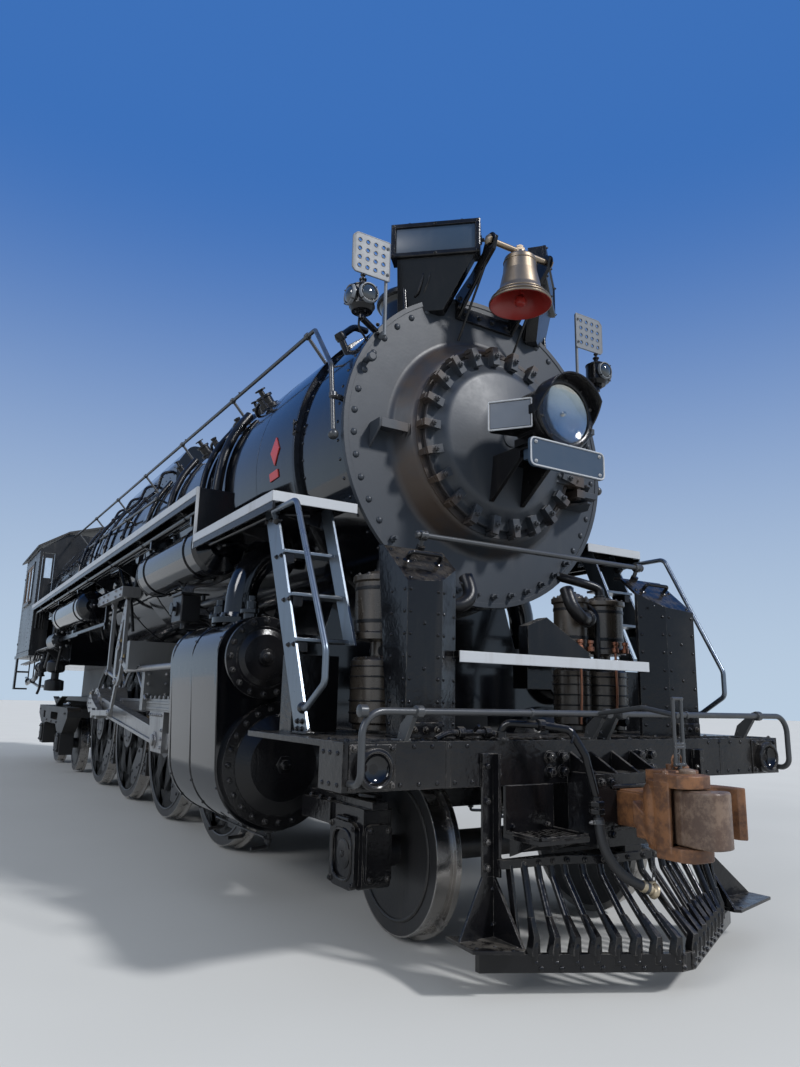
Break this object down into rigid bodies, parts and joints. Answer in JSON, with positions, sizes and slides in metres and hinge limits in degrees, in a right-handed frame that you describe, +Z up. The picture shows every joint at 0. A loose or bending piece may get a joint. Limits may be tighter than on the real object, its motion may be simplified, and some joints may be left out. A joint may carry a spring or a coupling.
{
  "type": "steam locomotive",
  "caption": "Steam locomotive with coupled driving wheels, rods, leading and trailing trucks, open-backed cab, hinged smokebox door, bell and knuckle coupler, without tender.",
  "frame": {"origin": "under the middle of the overall length, on the centre line, at the level of the wheel flanges' tips (28 mm below the rail top)", "axes": "+Z up; the locomotive faces -Y, so +Y runs aft along its length; +X is to its left"},
  "size_m": [3.2898, 16.777, 4.788],
  "materials": {
    "black_paint": "semi-gloss black paint, weathered",
    "jacket_black": "gloss black",
    "graphite": "matt graphite grey, scuffed",
    "cast_black": "black casting",
    "rod_steel": "greased steel",
    "wheel_black": "dusty black",
    "bell_bronze": "dull bronze",
    "coupler_rust": "rust brown",
    "plate_grey": "blue-grey paint",
    "pale_plate": "pale grey",
    "hose_rubber": "black rubber",
    "hose_fitting": "dull brass"
  },
  "bodies": {
    "engine": {"engine_bed": "cast_black", "driving_boxes": "cast_black", "cylinders": "jacket_black", "cylinder_heads": "jacket_black", "smokebox_front": "graphite", "smokebox": "graphite", "boiler": "jacket_black", "ashpan": "black_paint", "stack": "black_paint", "domes": "jacket_black", "running_board_right": "black_paint", "running_board_left": "black_paint", "front_ladders": "pale_plate", "pilot_beam": "black_paint", "pilot": "black_paint", "corner_steps": "black_paint", "pump_shields": "black_paint", "air_pumps": "cast_black", "front_rails": "black_paint", "coupler": "coupler_rust", "number_boards": "black_paint", "marker_lamps": "black_paint", "flag_plates": "pale_plate", "bell_yoke": "black_paint", "air_tanks": "jacket_black", "crosshead_guides": "rod_steel", "valve_gear": "rod_steel", "power_reverse": "black_paint", "handrails": "black_paint", "cab_floor": "black_paint", "cab_side_right": "black_paint", "cab_side_left": "black_paint", "cab_front": "black_paint", "cab_roof": "black_paint", "brakes": "cast_black", "air_hose": "hose_rubber", "hose_coupling": "hose_fitting"},
    "driver_1": {"driver_1": "wheel_black"},
    "driver_2": {"driver_2": "wheel_black"},
    "driver_3": {"driver_3": "wheel_black"},
    "driver_4": {"driver_4": "wheel_black"},
    "side_rods_right": {"side_rods_right": "rod_steel"},
    "side_rods_left": {"side_rods_left": "rod_steel"},
    "crosshead_right": {"crosshead_right": "rod_steel"},
    "crosshead_left": {"crosshead_left": "rod_steel"},
    "main_rod_right": {"main_rod_right": "rod_steel"},
    "main_rod_left": {"main_rod_left": "rod_steel"},
    "smokebox_door": {"smokebox_door": "graphite", "headlight": "black_paint", "headlight_plate": "plate_grey"},
    "bell": {"bell": "bell_bronze"},
    "knuckle": {"knuckle": "coupler_rust"},
    "lead_truck": {"lead_truck_frame": "cast_black"},
    "lead_wheels": {"lead_wheels": "wheel_black"},
    "trailing_truck": {"trailing_truck_frame": "cast_black"},
    "trailing_wheels_front": {"trailing_wheels_front": "wheel_black"},
    "trailing_wheels_rear": {"trailing_wheels_rear": "wheel_black"},
    "cab_door_right": {"cab_door_right": "black_paint"},
    "cab_door_left": {"cab_door_left": "black_paint"}
  },
  "joints": [
    {"name": "driver_1_spin", "type": "hinge", "parent": "engine", "child": "driver_1", "pos_m": [0, -3.5935, 0.904], "axis": [1, 0, 0], "continuous": true},
    {"name": "driver_2_spin", "type": "hinge", "parent": "engine", "child": "driver_2", "pos_m": [0, -1.7395, 0.904], "axis": [1, 0, 0], "continuous": true},
    {"name": "driver_3_spin", "type": "hinge", "parent": "engine", "child": "driver_3", "pos_m": [0, 0.1145, 0.904], "axis": [1, 0, 0], "continuous": true},
    {"name": "driver_4_spin", "type": "hinge", "parent": "engine", "child": "driver_4", "pos_m": [0, 1.9685, 0.904], "axis": [1, 0, 0], "continuous": true},
    {"name": "side_rods_right_pin", "type": "hinge", "parent": "driver_3", "child": "side_rods_right", "pos_m": [-0.93, 0.41997, 1.20947], "axis": [1, 0, 0], "continuous": true},
    {"name": "crosshead_right_slide", "type": "slide", "parent": "engine", "child": "crosshead_right", "axis": [0, 1, 0], "range_m": [-0.7513, 0.1127]},
    {"name": "main_rod_right_wrist", "type": "hinge", "parent": "crosshead_right", "child": "main_rod_right", "pos_m": [-1.168, -2.86623, 0.908], "axis": [1, 0, 0], "range_deg": [-12.83, 2.21]},
    {"name": "side_rods_left_pin", "type": "hinge", "parent": "driver_3", "child": "side_rods_left", "pos_m": [0.93, 0.41997, 0.59853], "axis": [1, 0, 0], "continuous": true},
    {"name": "crosshead_left_slide", "type": "slide", "parent": "engine", "child": "crosshead_left", "axis": [0, 1, 0], "range_m": [-0.752, 0.112]},
    {"name": "main_rod_left_wrist", "type": "hinge", "parent": "crosshead_left", "child": "main_rod_left", "pos_m": [1.168, -2.86549, 0.908], "axis": [1, 0, 0], "range_deg": [-2.21, 12.83]},
    {"name": "smokebox_door_hinge", "type": "hinge", "parent": "engine", "child": "smokebox_door", "pos_m": [0.745, -6.6315, 3.142], "axis": [0, 0, 1], "range_deg": [0, 100]},
    {"name": "bell_swing", "type": "hinge", "parent": "engine", "child": "bell", "pos_m": [0, -6.8685, 4.528], "axis": [1, 0, 0], "range_deg": [-20, 20]},
    {"name": "knuckle_pin", "type": "hinge", "parent": "engine", "child": "knuckle", "pos_m": [-0.15, -8.2015, 0.838], "axis": [0, 0, 1], "range_deg": [-45, 0]},
    {"name": "lead_truck_swivel", "type": "hinge", "parent": "engine", "child": "lead_truck", "pos_m": [0, -5.1615, 0.828], "axis": [0, 0, 1], "range_deg": [-4, 4]},
    {"name": "lead_wheels_spin", "type": "hinge", "parent": "lead_truck", "child": "lead_wheels", "pos_m": [0, -6.6415, 0.485], "axis": [1, 0, 0], "continuous": true},
    {"name": "trailing_truck_swivel", "type": "hinge", "parent": "engine", "child": "trailing_truck", "pos_m": [0, 3.1285, 0.828], "axis": [0, 0, 1], "range_deg": [-3, 3]},
    {"name": "trailing_front_spin", "type": "hinge", "parent": "trailing_truck", "child": "trailing_wheels_front", "pos_m": [0, 4.0685, 0.485], "axis": [1, 0, 0], "continuous": true},
    {"name": "trailing_rear_spin", "type": "hinge", "parent": "trailing_truck", "child": "trailing_wheels_rear", "pos_m": [0, 6.1605, 0.574], "axis": [1, 0, 0], "continuous": true},
    {"name": "cab_door_right_hinge", "type": "hinge", "parent": "engine", "child": "cab_door_right", "pos_m": [-1.512, 5.7005, 3.528], "axis": [0, 0, 1], "range_deg": [-100, 0]},
    {"name": "cab_door_left_hinge", "type": "hinge", "parent": "engine", "child": "cab_door_left", "pos_m": [1.512, 5.7005, 3.528], "axis": [0, 0, 1], "range_deg": [0, 100]}
  ],
  "couplings": [
    {"joint": "driver_1_spin", "follows": "driver_3_spin", "ratio": 1},
    {"joint": "driver_2_spin", "follows": "driver_3_spin", "ratio": 1},
    {"joint": "driver_4_spin", "follows": "driver_3_spin", "ratio": 1},
    {"joint": "side_rods_right_pin", "follows": "driver_3_spin", "ratio": -1},
    {"joint": "side_rods_left_pin", "follows": "driver_3_spin", "ratio": -1}
  ]
}
